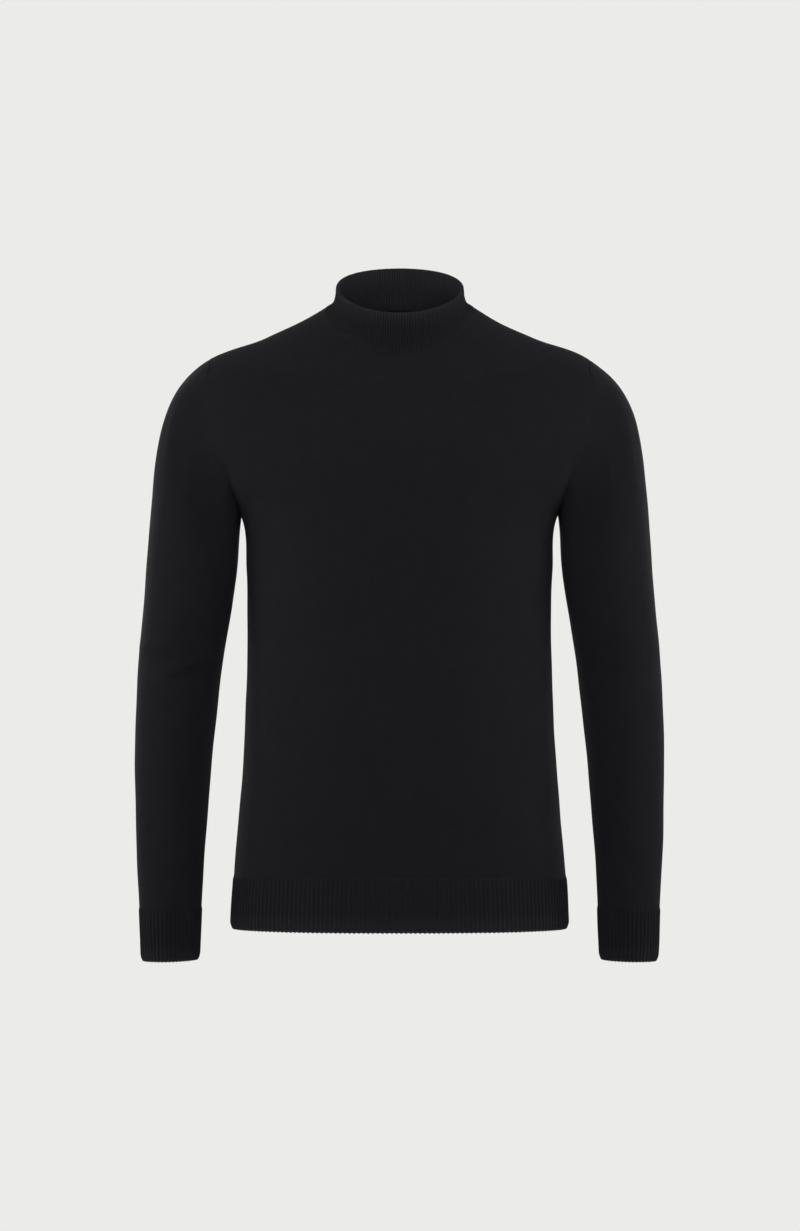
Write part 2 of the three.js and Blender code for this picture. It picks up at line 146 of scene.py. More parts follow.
# Creases, each a soft trough along a line seen from the front or the back, or a ridge where
# its depth is below zero. The first ones are on both sleeves and sides alike, and the finer
# ones differ from one side to the other: a side of 0 is both, 1 the wearer's left, -1 the right.
Crease = namedtuple("Crease", "face side x0 z0 x1 z1 width depth")
CREASES = [
    Crease(-1, 0, 204, -400, 262, -402, 17, 3.0),
    Crease(-1, 0, 262, -402, 289, -380, 15, 2.0),
    Crease(1, 0, 214, -402, 272, -384, 18, 2.2),
    Crease(-1, 0, 158, -245, 116, -285, 24, 2.0),
    Crease(1, 0, 156, -245, 110, -290, 24, 2.2),
    # the fold where the sleeve hangs against the side of the chest
    Crease(-1, -1, 190, -168, 175, -242, 9.5, 2.7),
    Crease(-1, 1, 191, -164, 176, -240, 9, 2.5),
    Crease(1, -1, 191, -178, 178, -240, 8, 2.0),
    Crease(1, 1, 189, -170, 179, -242, 8, 2.2),
    Crease(-1, -1, 206, -184, 200, -258, 9, -0.9),
    Crease(-1, 1, 208, -190, 202, -270, 9, -0.8),
    Crease(1, -1, 207, -194, 201, -266, 10, -0.9),
    Crease(1, 1, 209, -184, 202, -254, 10, -0.8),
    # short drags out of the underarm
    Crease(-1, -1, 170, -222, 132, -198, 9, 0.7),
    Crease(-1, 1, 172, -224, 138, -194, 8, 0.6),
    Crease(-1, -1, 216, -213, 242, -184, 9, 0.7),
    Crease(-1, 1, 218, -216, 240, -178, 8, 0.8),
    Crease(1, -1, 170, -220, 128, -184, 9, 0.8),
    Crease(1, 1, 171, -226, 134, -198, 9, 0.7),
    Crease(1, -1, 217, -214, 245, -180, 9, 0.8),
    Crease(1, 1, 216, -210, 242, -176, 8, 0.7),
    # the front of the arm: full above the elbow, and flatter towards the body below it
    Crease(-1, -1, 202, -250, 200, -372, 22, -4.5),
    Crease(-1, 1, 203, -260, 202, -380, 20, -2.6),
    Crease(1, -1, 203, -256, 201, -370, 18, -1.4),
    Crease(1, 1, 202, -250, 202, -376, 18, -1.8),
    Crease(-1, -1, 204, -408, 216, -540, 16, 2.2),
    Crease(-1, 1, 206, -430, 218, -560, 15, 1.4),
    Crease(1, -1, 206, -440, 218, -550, 16, 1.0),
    Crease(1, 1, 206, -424, 217, -540, 16, 1.2),
    # the inside of the elbow, and the slack above the cuff
    Crease(-1, -1, 256, -398, 196, -380, 6.5, -2.6),
    Crease(-1, -1, 206, -360, 248, -350, 12, 1.8),
    Crease(-1, 1, 205, -378, 244, -366, 11, 1.0),
    Crease(-1, -1, 222, -430, 268, -440, 13, 1.0),
    Crease(-1, 1, 220, -436, 272, -428, 14, 1.1),
    Crease(-1, -1, 256, -366, 292, -371, 7, -1.8),
    Crease(-1, 1, 236, -386, 280, -366, 9, -0.8),
    Crease(1, -1, 218, -376, 262, -352, 12, 1.0),
    Crease(1, 1, 216, -370, 258, -350, 12, 1.1),
    Crease(1, -1, 226, -432, 276, -424, 13, 0.9),
    Crease(1, 1, 224, -440, 270, -432, 14, 0.9),
    Crease(-1, -1, 226, -616, 266, -626, 9, 0.8),
    Crease(-1, 1, 232, -608, 272, -618, 10, 0.7),
    Crease(1, -1, 230, -612, 268, -604, 10, 0.8),
    Crease(1, 1, 226, -620, 262, -610, 9, 0.8),
    Crease(-1, -1, 246, -560, 280, -548, 12, 0.6),
    Crease(-1, 1, 236, -540, 276, -530, 12, 0.6),
    # the body: slack above the hem rib and long soft falls from chest and shoulder blades
    Crease(-1, -1, 62, -574, 146, -586, 15, 1.0),
    Crease(-1, 1, 40, -580, 122, -568, 14, 0.9),
    Crease(1, -1, 58, -570, 138, -582, 15, 1.0),
    Crease(1, 1, 66, -584, 150, -572, 14, 1.1),
    Crease(-1, -1, 118, -300, 104, -520, 30, 1.0),
    Crease(-1, 1, 112, -310, 120, -500, 28, 0.9),
    Crease(1, -1, 96, -240, 84, -470, 30, 1.3),
    Crease(1, 1, 104, -250, 92, -500, 32, 1.2),
    Crease(1, -1, 6, -300, 10, -480, 26, -1.0),
    Crease(-1, -1, 150, -330, 146, -470, 16, -0.8),
    Crease(-1, 1, 152, -345, 148, -500, 17, -0.8),
    Crease(1, -1, 148, -420, 152, -540, 16, 0.8),
    Crease(1, 1, 150, -400, 146, -530, 16, 0.8),
]

CREASE_IN = (-0.25, 0.3)  # shares of a crease's line between which it fades in
CREASE_OUT = (0.6, 1.25)  # and out
CREASE_MIDDLE = 12  # a crease of one side fades out this near the body's middle
DRIFT = {"slow": 0.45, "quick": 0.16}  # how far the cloth swells between its creases

# Seams: how far an edge is rolled in, from how far away, and how far from the seam the painted
# light reaches that offsets the shade in its groove.
LIP_DEPTH = 0.1
LIP_REACH = 1.8
SEAM_LIGHT_REACH = 3
# Near its top the armhole is drawn in: how far round that lasts, in radians from the shoulder
# tip, from what share of a panel's half width outwards, how much deeper the roll is, and how
# much painted shade darkens the cloth in that crease.
DRAWN_TURN = (0.45, 0.8)
DRAWN_WIDTH = 0.5 ** (1 / 8)
DRAWN_DEEPER = 5
DRAWN_SHADE = 6.5
SLEEVE_SEAM = 0.8  # the sleeve's own seam is rolled in as if it were this far off
COLLAR_SEAM_LIGHT = 3.2  # painted light up the foot of the collar, this many times other seams', where the foot faces up
COLLAR_SEAM_LIGHT_REACH = 15

# Grid lines. Those nearest to a seam are close enough to round its lip, and those above a
# rib's free edge close enough for its tuck.
SEAM_STEPS = np.array([0, 0.35, 0.8, 1.3, 1.9, 2.7, 3.8, 5.2])
EDGE_STEPS = np.array([5.8, 4.0, 2.4, 1.1, 0])
ARMHOLE_ROWS = 84
PANEL_HALF = 220  # half a panel's width, for sharing out its columns
HEAD_LENGTH = 170  # a sleeve head's length, for sharing out its rows
SLEEVE_ROUND = 300  # a sleeve's girth, for sharing out its columns
# The distance between lines elsewhere. Low rows are those of a rib whose free edge is low,
# and high rows the collar's.
FINE = {
    "panel rows": 3.2,
    "shoulder rows": 2.8,
    "panel columns": 2.9,
    "sleeve rows": 3.0,
    "head rows": 2.6,
    "sleeve columns": 2.9,
    "low rows": 4.2,
    "high rows": 2.6,
}


# ---- Curves and small shapes ----
def lerp(a, b, share):
    """a at share 0, b at share 1, straight between."""
    return a + (b - a) * share


def smooth(low, high, value):
    """0 below low, 1 above high, and 3x^2 - 2x^3 of the share of the way between."""
    x = np.clip((value - low) / (high - low), 0, 1)
    return x * x * (3 - 2 * x)


def length(vectors):
    """The length of each vector of the last axis."""
    return np.sqrt((vectors**2).sum(axis=-1))


def unit(vectors):
    """Each vector divided by its length."""
    return vectors / length(vectors)[..., None]


def point(x, y, z):
    """Three arrays of one shape as an array of points."""
    return np.stack(np.broadcast_arrays(x, y, z), axis=-1)


def wave(place, seed):
    """A fixed wandering value from -1 to 1: the mean of three sines of unrelated pitch."""
    a = np.sin(place + seed * 1.7)
    b = np.sin(place * 2.37 + seed * 4.1)
    return (a + b + np.sin(place * 0.53 + seed * 2.9)) / 3


def through(knots, values, at):
    """A smooth curve through values at knots: cubic pieces whose slope at each knot is
    its neighbouring spans' slopes, each weighted by the other span's length."""
    span = np.diff(knots)
    slope = np.diff(values) / span
    tangent = np.concatenate([slope[:1], np.zeros(len(slope) - 1), slope[-1:]])
    tangent[1:-1] = (slope[:-1] * span[1:] + slope[1:] * span[:-1]) / (span[:-1] + span[1:])
    i = np.clip(np.searchsorted(knots, at) - 1, 0, len(span) - 1)
    s = (at - knots[i]) / span[i]
    ends = values[i] * (1 + 2 * s) * (1 - s) ** 2 + values[i + 1] * s * s * (3 - 2 * s)
    return ends + span[i] * s * (1 - s) * (tangent[i] * (1 - s) - tangent[i + 1] * s)


class Sections:
    """A table of sections as smooth curves of the distance along one of its edges."""

    def __init__(self, columns, rows, edge):
        self.names = columns.split()
        self.values = dict(zip(self.names, np.array(list(rows.values()), float).T))
        ends = np.stack([self.values[name] for name in edge], axis=-1)
        self.knots = np.concatenate([[0], np.cumsum(length(np.diff(ends, axis=0)))])
        self.places = dict(zip(rows, self.knots))

    def at(self, s):
        """Every column's value at distance s."""
        return {name: through(self.knots, self.values[name], s) for name in self.names}


body = Sections(BODY_COLUMNS, BODY, ("halfWidth", "side"))
sleeve = Sections(SLEEVE_COLUMNS, SLEEVE, ("overX", "overZ"))
collar = Sections(COLLAR_COLUMNS, COLLAR, ("halfWidth", "side"))


# ---- The forms ----
def loop(row, turn, square):
    """A tilted superellipse. Turn 0 is the centre front and a quarter turn the wearer's left.
    Its radius is (|sin|^n + |cos|^n)^(-1/n), and its height is a parabola of how far
    forward a point is, through the heights of its side, front and back."""
    sine, cosine = np.sin(turn), np.cos(turn)
    reach = (np.abs(sine) ** square + np.abs(cosine) ** square) ** (-1 / square)
    ahead = cosine * reach
    tilt = (row["frontZ"] - row["backZ"]) / 2
    dip = (row["frontZ"] + row["backZ"]) / 2 - row["side"]
    depth = np.where(ahead > 0, row["front"], row["back"])
    return point(
        row["halfWidth"] * sine * reach,
        -depth * ahead,
        row["side"] + tilt * ahead + dip * ahead**2,
    )


def body_form(turn, s):
    """The body's surface at a turn and a distance up its side."""
    row = body.at(s)
    return loop(row, turn, row["square"])


def collar_form(turn, s):
    """The collar's outer surface at a turn and a distance up its side."""
    return loop(collar.at(s), turn, 2)


def armhole_place(angle):
    """Where the armhole runs on the body, as (turn, s). Angle 0 is the underarm and half a
    turn the shoulder tip, by way of the front. Its height goes as (1 - cos)/2 and its
    reach round the body as a power of |sin| that goes from the underarm's to the tip's."""
    height = (1 - np.cos(angle)) / 2
    s = lerp(body.places["underarm"], body.places["shoulderTip"], height)
    power = lerp(ARMHOLE_POWER["underarm"], ARMHOLE_POWER["shoulder"], height)
    fullness = np.abs(np.sin(angle)) ** power
    return QUARTER - np.sign(np.sin(angle)) * ARMHOLE_TURN * fullness, s


def armhole(angle):
    """The armhole's point at an angle."""
    return body_form(*armhole_place(angle))


def normal_of(form, u, v, step_u, step_v):
    """The outward normal: the cross product of the form's central differences."""
    across = form(u + step_u, v) - form(u - step_u, v)
    return unit(np.cross(across, form(u, v + step_v) - form(u, v - step_v)))


def body_normal(turn, s):
    """The body's outward normal."""
    return normal_of(body_form, turn, s, TURN_STEP, 0.5)


def collar_normal(turn, s):
    """The collar's outward normal."""
    return normal_of(collar_form, turn, s, TURN_STEP, 0.3)


def sleeve_oval(angle, s):
    """An oval of the sleeve. Angle 0 is the underarm edge and half a turn the overarm edge,
    by way of the front: across by cosine between the two edges, and deep by sine."""
    row = sleeve.at(s)
    outward = (1 - np.cos(angle)) / 2
    depth = np.where(np.sin(angle) > 0, row["front"], row["back"])
    return point(
        lerp(row["underX"], row["overX"], outward),
        row["middle"] - depth * np.sin(angle),
        lerp(row["underZ"], row["overZ"], outward),
    )


def sleeve_start(angle):
    """The way the sleeve leaves the armhole: on with the body's surface at the shoulder,
    and straight down at the underarm, where sleeve and body fold against each other."""
    seam = armhole(angle + TURN_STEP) - armhole(angle - TURN_STEP)
    onward = -unit(np.cross(body_normal(*armhole_place(angle)), seam))
    outward = smooth(*UNDERARM_SHARE, (1 - np.cos(angle)) / 2)[..., None]
    return unit(lerp(UNDERARM_WAY, onward, outward))


def sleeve_form(angle, v):
    """The whole sleeve: v runs from 0 at the armhole through 1 at the biceps, then in
    millimetres. The head is a cubic bridge from the armhole to the biceps oval that
    leaves and arrives along the directions of its two ends."""
    share = np.clip(v, 0, 1)
    start, end = armhole(angle), sleeve_oval(angle, 0 * v)
    gap = length(start - end)
    outward = (1 - np.cos(angle)) / 2
    onward = unit(sleeve_oval(angle, 0 * v + 12) - end)
    near = ((1 + 2 * share) * (1 - share) ** 2)[..., None]
    pull = lerp(LEAVING_PULL["underarm"], LEAVING_PULL["shoulder"], outward)
    leaving = (gap * pull * share * (1 - share) ** 2)[..., None]
    pull = lerp(ARRIVING_PULL["underarm"], ARRIVING_PULL["shoulder"], outward)
    arriving = (gap * pull * share**2 * (1 - share))[..., None]
    head = start * near + end * (1 - near) + sleeve_start(angle) * leaving - onward * arriving
    return np.where((v < 1)[..., None], head, sleeve_oval(angle, np.maximum(v - 1, 0)))


def sleeve_normal(angle, v):
    """The sleeve's outward normal."""
    low = np.where(v < 1, np.maximum(v - 0.01, 0), np.maximum(v - 0.5, 1))
    high = np.where(v < 1, np.minimum(v + 0.01, 1), v + 0.5)
    around = sleeve_form(angle + TURN_STEP, v) - sleeve_form(angle - TURN_STEP, v)
    return -unit(np.cross(around, sleeve_form(angle, high) - sleeve_form(angle, low)))


def seam_normal(angle):
    """The direction that body and sleeve share at the armhole: their normals' middle,
    turned a little down."""
    shared = body_normal(*armhole_place(angle)) + sleeve_normal(angle, 0 * angle)
    return unit(shared + SEAM_TILT)


# ---- Creases and unevenness ----
def crease_depth(points, normals):
    """How deep the creases are: each one is its depth times a bell curve of the distance
    from its line, fading in and out near the line's ends, on the face that it lies on."""
    facing = normals[..., 1]
    x, z = points[..., 0], points[..., 2]
    depth = np.zeros_like(x)
    for crease in CREASES:
        own = np.clip(facing * crease.face * 2, 0, 1)
        if crease.side != 0:
            own = own * smooth(-CREASE_MIDDLE, CREASE_MIDDLE, x * crease.side)
        dx, dz = crease.x1 - crease.x0, crease.z1 - crease.z0
        from_x, from_z = np.abs(x) - crease.x0, z - crease.z0
        share = (from_x * dx + from_z * dz) / (dx * dx + dz * dz)
        aside = (from_x * dz - from_z * dx) / np.hypot(dx, dz)
        ends = smooth(*CREASE_IN, share) * (1 - smooth(*CREASE_OUT, share))
        depth += own * crease.depth * ends * np.exp(-((aside / crease.width) ** 2))
    return depth


def drift(points):
    """The slight swell of relaxed knit: two products of slanting waves, the slow one's about
    130 mm long and the quick one's 45 to 75 mm."""
    x, y, z = points[..., 0], points[..., 1], points[..., 2]
    slow = np.sin(x / 21 + z / 47 + 1.0) * np.sin(z / 31 - x / 60 + y / 35)
    quick = np.sin(x / 9.5 - z / 23 + y / 14 + 0.6) * np.sin(z / 13 + x / 31 + 2.1)
    return DRIFT["slow"] * slow + DRIFT["quick"] * quick


def relief(points, normals, side=1):
    """How far the cloth stands out of its plain form. Side -1 is for a grid of the wearer's
    left that is turned over afterwards, so that it gets the right side's relief."""
    if side < 0:
        points, normals = points * TURNED_OVER, normals * TURNED_OVER
    return drift(points) - crease_depth(points, normals)


def lip(distance, drawn):
    """How far the cloth is rolled in at a distance from a seam: all the way on the seam,
    and falling off as the cube of the share of the reach that is left. drawn is how far
    the seam is drawn in, from 0 to 1, which makes the roll deeper."""
    deeper = 1 + DRAWN_DEEPER * drawn
    return LIP_DEPTH * deeper * (1 - np.clip(distance / LIP_REACH, 0, 1)) ** 3


def tightness(angle):
    """How tightly the armhole is drawn in at an angle round it: only near its top."""
    return 1 - smooth(*DRAWN_TURN, np.abs(np.abs(angle) - np.pi))


def seam_painted_light(distance, drawn=0, reach=SEAM_LIGHT_REACH):
    """Painted light at a distance from a seam, which offsets the shade that falls in its groove,
    or painted shade, below zero, in the crease where the seam is drawn in. It falls off as the
    square of the share of the reach that is left."""
    return (1 - np.clip(distance / reach, 0, 1)) ** 2 * (1 - DRAWN_SHADE * drawn)


# ---- Grids ----
def spaced(total, step, near_start, near_end):
    """Places from 0 to total, about step apart, with close ones at the ends that are seams."""
    first = SEAM_STEPS if near_start else np.zeros(1)
    last = SEAM_STEPS if near_end else np.zeros(1)
    room = total - first[-1] - last[-1]
    between = first[-1] + room * np.linspace(0, 1, max(2, round(room / step)) + 1)[1:-1]
    return np.concatenate([first, between, total - last[::-1]])


def evenly(curve, start, end, spans, samples=4001):
    """Places from start to end that cut a curve into equal lengths, found by adding up its
    length through many samples."""
    places = np.linspace(start, end, samples)
    run = np.concatenate([[0], np.cumsum(length(np.diff(curve(places), axis=0)))])
    return np.interp(np.linspace(0, run[-1], spans + 1), run, places)


def chords(curve, start, end, parts=20):
    """The length of a curve between two arrays of places, as the sum of its chords."""
    total, last = 0, curve(start)
    for k in range(1, parts + 1):
        after = curve(lerp(start, end, k / parts))
        total = total + length(after - last)
        last = after
    return total


def run_along(points, axis):
    """Distance along a grid's lines from their first point."""
    steps = length(np.diff(points, axis=axis))
    pad = [(0, 0), (0, 0)]
    pad[axis] = (1, 0)
    return np.pad(np.cumsum(steps, axis=axis), pad)


# ---- Walls ----
def shell(name, outer, inner, closed, stitches, fields):
    """One closed wall from an outer and an inner grid of points, rows by columns, the
    outer one facing out: both grids' squares, and strips that join their edges.
    A closed wall runs all the way round, and its last column of points is its first.
    stitches is the place of each point in (wales, courses), and becomes the UV map.
    fields are further values of each point by name, one grid for each face."""
    rows, columns = outer.shape[:2]
    own = columns - 1 if closed else columns
    number = np.arange(rows * own).reshape(rows, own)
    number = np.concatenate([number, number[:, :1]], axis=1) if closed else number
    number = np.stack([number, number + rows * own])
    corner = np.arange(2 * rows * columns).reshape(2, rows, columns)

    def squares(a, b, c, d):
        return np.stack([a.ravel(), b.ravel(), c.ravel(), d.ravel()], axis=-1)

    out, ins = corner
    faces = [
        squares(out[:-1, :-1], out[:-1, 1:], out[1:, 1:], out[1:, :-1]),
        squares(ins[:-1, :-1], ins[1:, :-1], ins[1:, 1:], ins[:-1, 1:]),
        squares(out[0, 1:], out[0, :-1], ins[0, :-1], ins[0, 1:]),
        squares(out[-1, :-1], out[-1, 1:], ins[-1, 1:], ins[-1, :-1]),
    ]
    if not closed:
        faces.append(squares(out[:-1, 0], out[1:, 0], ins[1:, 0], ins[:-1, 0]))
        faces.append(squares(out[1:, -1], out[:-1, -1], ins[:-1, -1], ins[1:, -1]))
    faces = np.concatenate(faces)

    mesh = bpy.data.meshes.new(name)
    vertices = np.concatenate([outer[:, :own].reshape(-1, 3), inner[:, :own].reshape(-1, 3)])
    mesh.vertices.add(len(vertices))
    mesh.vertices.foreach_set("co", (vertices * MM).astype(np.float32).ravel())
    mesh.loops.add(faces.size)
    mesh.loops.foreach_set("vertex_index", number.ravel()[faces].astype(np.int32).ravel())
    mesh.polygons.add(len(faces))
    mesh.polygons.foreach_set("loop_start", np.arange(0, faces.size, 4, dtype=np.int32))
    mesh.update(calc_edges=True)
    mesh.polygons.foreach_set("use_smooth", np.ones(len(faces), bool))
    both = np.concatenate([stitches.reshape(-1, 2)] * 2)
    mesh.uv_layers.new(name="stitches").data.foreach_set(
        "uv", both[faces].astype(np.float32).ravel()
    )
    for field, values in fields.items():
        values = np.concatenate([layer[:, :own].ravel() for layer in values])
        layer = mesh.attributes.new(field, "FLOAT", "POINT")
        layer.data.foreach_set("value", values.astype(np.float32))
    piece = bpy.data.objects.new(name, mesh)
    bpy.context.scene.collection.objects.link(piece)
    return piece


def mirrored(points):
    """A grid of the wearer's left as one of the right: x turned over, columns reversed."""
    return (points * TURNED_OVER)[:, ::-1]


# ---- The pieces ----
def panel(facing):
    """A front or back panel. Each row runs from one side to the other and rises or falls
    with the fourth power of how far out it is, so that rows leave the corners of the
    underarm and shoulder tip slantwise. Returns outer, inner, stitches and fields."""
    sign = -1 if facing == "front" else 1
    centre = 0 if facing == "front" else np.pi
    places = body.places
    low, under = places["ribTop"], places["underarm"]
    tip, top = places["shoulderTip"], places["neckSeam"]
    low_middle, high_middle = under - PANEL_SAG, lerp(tip, top, 0.5)

    plain = spaced(under - low, FINE["panel rows"], True, False)[:-1] / (under - low)
    beside = np.linspace(0, 1, ARMHOLE_ROWS)
    shoulder = spaced(top - tip, FINE["shoulder rows"], False, True)[1:] / (top - tip)
    angle = -sign * np.pi * beside
    seam_turn, seam_s = armhole_place(angle)
    half = seam_turn if sign < 0 else np.pi - seam_turn
    side_s = np.concatenate([lerp(low, under, plain), seam_s, lerp(tip, top, shoulder)])
    middle_s = np.concatenate(
        [
            lerp(low, low_middle, plain),
            lerp(low_middle, high_middle, beside),
            lerp(high_middle, top, shoulder),
        ]
    )
    half = np.concatenate([QUARTER + 0 * plain, half, QUARTER + 0 * shoulder])

    def place(across):
        return centre + half[:, None] * across, lerp(middle_s[:, None], side_s[:, None], across**4)

    half_width = run_along(body_form(*place(np.linspace(-1, 1, 81)[None, :])), 1)[:, -1:] / 2
    columns = spaced(2 * PANEL_HALF, FINE["panel columns"], True, True)
    out = np.minimum(columns, 2 * PANEL_HALF - columns)
    near = np.minimum(out, SEAM_STEPS[-1])
    rest = (out - near) / (PANEL_HALF - SEAM_STEPS[-1])
    from_edge = near / half_width + (1 - SEAM_STEPS[-1] / half_width) * rest
    across = np.sign(columns - PANEL_HALF) * (1 - from_edge)

    turn, s = place(across)
    form = body_form(turn, s)
    normals = body_normal(turn, s)
    rows = slice(len(plain), len(plain) + len(beside))
    shared = seam_normal(angle)
    left, right = (-1, 0) if sign < 0 else (0, -1)
    normals[rows, left] = shared
    normals[rows, right] = shared * TURNED_OVER
    run = run_along(form, 1)
    climb = run_along(form, 0)
    to_side = np.minimum(run, run[:, -1:] - run)
    to_seam = np.minimum(to_side, climb[-1:] - climb)
    drawn = np.zeros(len(side_s))
    drawn[rows] = tightness(angle)
    drawn = drawn[:, None] * (np.abs(across) > DRAWN_WIDTH)
    form = form + normals * (relief(form, normals) - lip(to_seam, drawn))[..., None]
    form[..., 1] += sign * CLEAR / 2

    wales = np.sign(across) * chords(lambda t: body_form(t, s), centre + 0 * turn, turn)
    courses = chords(lambda h: body_form(turn, h), low + 0 * s, s)
    stitches = np.stack([wales / WALE, courses / COURSE], axis=-1)
    # painted light along the seams, and painted shade where the armhole is drawn in
    seam = seam_painted_light(to_seam, drawn)
    return form, form - normals * WALL, stitches, {"seam": (seam, seam)}


def sleeve_tube(side):
    """A sleeve from cuff to armhole, one oval a row, with its own seam along the underarm.
    Side 1 is the wearer's left, and side -1 the right, still to be turned over.
    Returns outer, inner, stitches and fields."""
    long = sleeve.places["cuffTop"]
    arm = long - spaced(long, FINE["sleeve rows"], True, False)
    head = 1 - spaced(HEAD_LENGTH, FINE["head rows"], False, True)[1:] / HEAD_LENGTH
    v = np.concatenate([1 + arm, head])[:, None]
    columns = spaced(SLEEVE_ROUND, FINE["sleeve columns"], True, True)
    angle = columns[None, :] / SLEEVE_ROUND * 2 * np.pi
    v, angle = np.broadcast_arrays(v, angle)
    form = sleeve_form(angle, v)
    normals = sleeve_normal(angle, v)
    normals[-1] = seam_normal(angle[-1])
    form[:, -1] = form[:, 0]
    normals[:, -1] = normals[:, 0]
    run = run_along(form, 1)
    climb = run_along(form, 0)
    to_side = np.minimum(run, run[:, -1:] - run)
    to_seam = np.minimum(climb[-1:] - climb, to_side + SLEEVE_SEAM)
    drawn = tightness(angle)
    form = form + normals * (relief(form, normals, side) - lip(to_seam, drawn))[..., None]
    form[..., 0] += CLEAR

    middle = run[:, [run.shape[1] // 2]]
    stitches = np.stack([(run - middle) / WALE, climb / COURSE], axis=-1)
    # painted light along the seams, and painted shade where the armhole is drawn in
    seam = seam_painted_light(to_seam, drawn)
    return form, form - normals * WALL, stitches, {"seam": (seam, seam)}


def ridge(ribs):
    """The section of a rib: 1 on its broad round top and 0 in the narrow groove beside it,
    1 - |sin|^n of half a turn for each rib."""
    return 1 - np.abs(np.sin(np.pi * (ribs - RIB_START))) ** RIB_POWER


def rib_band(rib, form, normal, low, high, turns, grooves, side=1):
    """A band of rib from level low to level high of a form, its free edge at one of them and
    its join at the other. The grid runs round it through turns. Over the free edge the wall
    turns as half a circle. The ribs run up the band, a little uneven in height, and fade
    out at the join. The collar's join is rolled in, because it is sewn on.
    grooves is the painted shade in the grooves between ribs, outside and inside, which is painted
    light below zero."""
    fold = rib.wall / 2
    if rib.free == "low":
        levels = high - spaced(high - low - fold, FINE["low rows"], True, False)
        levels = np.concatenate([levels[:-2], levels[-1] + EDGE_STEPS])
    else:
        levels = low + spaced(high - low - fold, FINE["high rows"], True, False)
    turn, s = np.broadcast_arrays(turns[None, :], levels[:, None])
    flat, out = form(turn, s), normal(turn, s)
    onward = 1 if rib.free == "high" else -1
    along = unit(form(turn, s + 0.5) - form(turn, s - 0.5)) * onward

    ribs = np.arange(len(turns)) / rib.lines
    number = np.round(ribs).astype(int)
    height = rib.rise * ridge(ribs) * (1 + RIB_UNEVEN * wave(number * 1.9, 3))
    distance = run_along(flat, 0)
    raised = height[None, :] * smooth(*RIB_JOIN, distance)
    soft = relief(flat, out, side)
    sewn = rib.free == "high"
    to_edge = distance[-1:] - distance
    drawn_in = rib.tuck * np.clip(1 - to_edge / TUCK_REACH, 0, 1) ** 2
    rolled = lip(distance, 0) * sewn + drawn_in
    outside = flat + out * (raised + soft - rolled)[..., None]
    within = flat - out * (rib.wall - rib.inside * raised - soft + rolled)[..., None]

    turned = np.linspace(0, 1, FOLD_LINES + 1)[1:] * FOLD_TURN
    centre = flat[-1] + out[-1] * (soft[-1] - rib.tuck - fold)[:, None]

    def over_edge(way, extra):
        reach = (fold + extra)[:, None]
        rows = [
            centre + reach * (way * out[-1] * np.cos(a) + along[-1] * np.sin(a)) for a in turned
        ]
        return np.stack(rows)

    outside = np.concatenate([outside, over_edge(1, height)])
    within = np.concatenate([within, over_edge(-1, -rib.inside * height)])
    past = distance[-1:] + fold * turned[:, None]
    climb = np.concatenate([distance, past])
    across = np.broadcast_to(ribs[None, :] * rib.wales, climb.shape)
    stitches = np.stack([across, climb / COURSE], axis=-1)
    # crest carries the painted shade in the grooves, or painted light where it is below zero
    crest = [np.broadcast_to(1 - g * (1 - ridge(ribs)), climb.shape) for g in grooves]
    # painted light up the foot of the collar
    seam = COLLAR_SEAM_LIGHT * seam_painted_light(climb, reach=COLLAR_SEAM_LIGHT_REACH) * sewn
    to_edge = np.concatenate([to_edge, 0 * past])
    # painted highlight towards a free edge
    edge_highlight = sum(share * (1 - smooth(0, reach, to_edge)) for share, reach in EDGE_HIGHLIGHT)
    # the collar's inner side gets painted light on top of the edge highlight
    fields = {"seam": (seam, seam), "crest": crest, "edge_highlight": (edge_highlight, edge_highlight + rib.paler)}
    if rib.free == "low":
        outside, within, stitches = outside[::-1], within[::-1], stitches[::-1]
        fields = {name: (a[::-1], b[::-1]) for name, (a, b) in fields.items()}
    return outside, within, stitches, fields


def hem_rib(facing):
    """Half of the hem rib, below a front or back panel."""
    rib = RIBS["hem"]
    sign = -1 if facing == "front" else 1
    centre = 0 if facing == "front" else np.pi
    low, high = body.places["hemEdge"], body.places["ribTop"]
    turns = evenly(
        lambda turn: body_form(turn, (low + high) / 2),
        centre - QUARTER,
        centre + QUARTER,
        rib.count * rib.lines,
    )
    # painted light in the middle of the hem, painted shade in its grooves at the sides
    aside = smooth(*HEM_GROOVE_TURNS, np.abs(np.sin(turns - centre)))
    groove = lerp(HEM_GROOVE_SHADE["middle"], HEM_GROOVE_SHADE["side"], aside)
    outer, inner, stitches, fields = rib_band(
        rib, body_form, body_normal, low, high, turns, (groove, groove)
    )
    shift = np.array([0, sign * CLEAR / 2, -CLEAR])
    return outer + shift, inner + shift, stitches, fields


def cuff_rib(side):
    """The rib at the end of a sleeve, on the same side as sleeve_tube's. The sleeve's
    distances run down, so that their negatives are the levels of the band."""
    rib = RIBS["cuff"]
    low, high = -sleeve.places["cuffEdge"], -sleeve.places["cuffTop"]
    turns = evenly(
        lambda turn: sleeve_oval(turn, -(low + high) / 2), 0, 2 * np.pi, rib.count * rib.lines
    )
    outer, inner, stitches, fields = rib_band(
        rib,
        lambda turn, level: sleeve_oval(turn, -level),
        lambda turn, level: sleeve_normal(turn, 1 - level),
        low,
        high,
        turns,
        CUFF_GROOVE_SHADE,
        side,
    )
    shift = np.array([CLEAR, 0, -CLEAR])
    return outer + shift, inner + shift, stitches, fields


def collar_tube():
    """The doubled collar, standing up from the neck seam to its rounded fold."""
    rib = RIBS["collar"]
    edge = collar.places["edge"]
    turns = evenly(
        lambda turn: collar_form(turn, edge / 2), 0, 2 * np.pi, rib.count * rib.lines
    )
    return rib_band(
        rib, collar_form, collar_normal, CLEAR, edge + COLLAR_TOP, turns, COLLAR_GROOVE_SHADE
    )


